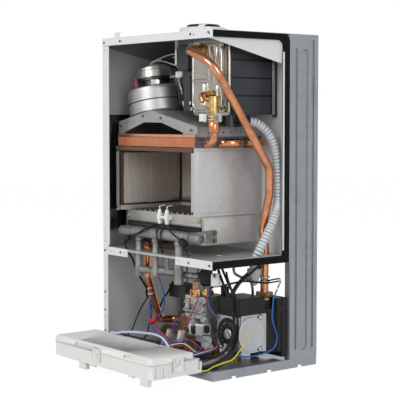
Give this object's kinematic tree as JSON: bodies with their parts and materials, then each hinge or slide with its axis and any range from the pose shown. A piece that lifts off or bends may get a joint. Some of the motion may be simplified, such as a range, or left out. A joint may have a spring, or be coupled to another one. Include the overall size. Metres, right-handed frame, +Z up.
{
  "type": "gas boiler",
  "caption": "Wall-hung gas boiler opened for service, with burner, finned heat exchanger, fan, condenser, pump, valves and a control box that folds down in front.",
  "frame": {"origin": "bottom centre of the rear face, where the cabinet meets the wall", "axes": "+X to the right seen from the room, +Y into the wall, +Z up"},
  "size_m": [0.4, 0.449, 0.756],
  "materials": {
    "galvanised": "satin",
    "grey_sheet": "satin",
    "red_paint": "satin",
    "white_paint": "satin",
    "black_foam": "matte",
    "black_rubber": "matte",
    "red_rubber": "satin",
    "stainless": "polished",
    "fibre_board": "matte",
    "cast_aluminium": "satin",
    "brass": "satin",
    "copper": "polished",
    "ceramic": "gloss",
    "black_plastic": "satin",
    "black_steel": "satin",
    "grey_plastic": "satin",
    "white_plastic": "satin",
    "green_board": "satin",
    "black_cable": "satin"
  },
  "bodies": {
    "boiler": {"rear_frame": "galvanised", "chamber_rear_wall": "grey_sheet", "expansion_vessel": "red_paint", "left_side_panel": "white_paint", "top_panel": "white_paint", "chamber_floor": "galvanised", "floor_gland_plate": "galvanised", "chamber_seal": "black_foam", "base_tray": "galvanised", "left_heat_shield": "stainless", "flue_adaptor": "white_paint", "flue_gasket": "black_rubber", "combustion_chamber": "galvanised", "insulation_boards": "fibre_board", "burner_casing": "galvanised", "burner_bars": "stainless", "burner_front_strip": "galvanised", "gas_manifold": "cast_aluminium", "injector_nozzles": "brass", "gas_risers": "stainless", "lower_gas_rail": "stainless", "ignition_electrodes": "ceramic", "ignition_transformer": "black_plastic", "exchanger_fins": "copper", "exchanger_tubes": "copper", "exchanger_end_plates": "galvanised", "fume_hood": "galvanised", "fan_volute": "stainless", "fan_cover": "stainless", "fan_bracket": "black_steel", "fan_grommets": "red_rubber", "fan_motor": "stainless", "fan_outlet_duct": "black_plastic", "pressure_switch": "black_plastic", "condenser_housing": "black_plastic", "condenser_end_plate": "stainless", "thin_copper_pipe": "copper", "brass_unions": "brass", "upper_copper_pipe": "copper", "link_pipe": "copper", "condensate_hose": "grey_plastic", "condensate_trap": "grey_plastic", "flow_pipe": "copper", "pump_motor": "cast_aluminium", "pump_dial_plate": "black_plastic", "pump_terminal_box": "black_plastic", "hydraulic_block": "black_plastic", "flow_block": "brass", "plate_heat_exchanger": "stainless", "gas_valve": "cast_aluminium", "pipe_stubs": "copper", "box_harness": "black_cable"},
    "control_box": {"box_shell": "white_plastic", "box_cover": "white_plastic", "circuit_board": "green_board"},
    "knob_left": {"setting_knob_left": "grey_plastic"},
    "knob_right": {"setting_knob_right": "grey_plastic"},
    "fan_wheel": {"fan_rotor": "galvanised"},
    "pump_shaft": {"pump_rotor": "stainless"},
    "filling_tap": {"filling_tap_knob": "black_plastic"}
  },
  "joints": [
    {"name": "control_box_fold", "type": "hinge", "parent": "boiler", "child": "control_box", "pos_m": [0, -0.305, 0.012], "axis": [-1, 0, 0], "range_deg": [0, 90], "deforming": ["box_harness"]},
    {"name": "left_knob_turn", "type": "hinge", "parent": "control_box", "child": "knob_left", "pos_m": [-0.11, -0.38, 0.019], "axis": [0, 0, -1], "range_deg": [0, 270]},
    {"name": "right_knob_turn", "type": "hinge", "parent": "control_box", "child": "knob_right", "pos_m": [0.06, -0.38, 0.019], "axis": [0, 0, -1], "range_deg": [0, 270]},
    {"name": "fan_spin", "type": "hinge", "parent": "boiler", "child": "fan_wheel", "pos_m": [-0.112, -0.202, 0.55467], "axis": [-0.2079, 0, 0.9781], "continuous": true},
    {"name": "pump_spin", "type": "hinge", "parent": "boiler", "child": "pump_shaft", "pos_m": [0.156, -0.18, 0.087], "axis": [0, 1, 0], "continuous": true},
    {"name": "filling_tap_turn", "type": "hinge", "parent": "boiler", "child": "filling_tap", "pos_m": [0.126, -0.118, 0.03], "axis": [0, 0, 1], "range_deg": [0, 90]}
  ]
}
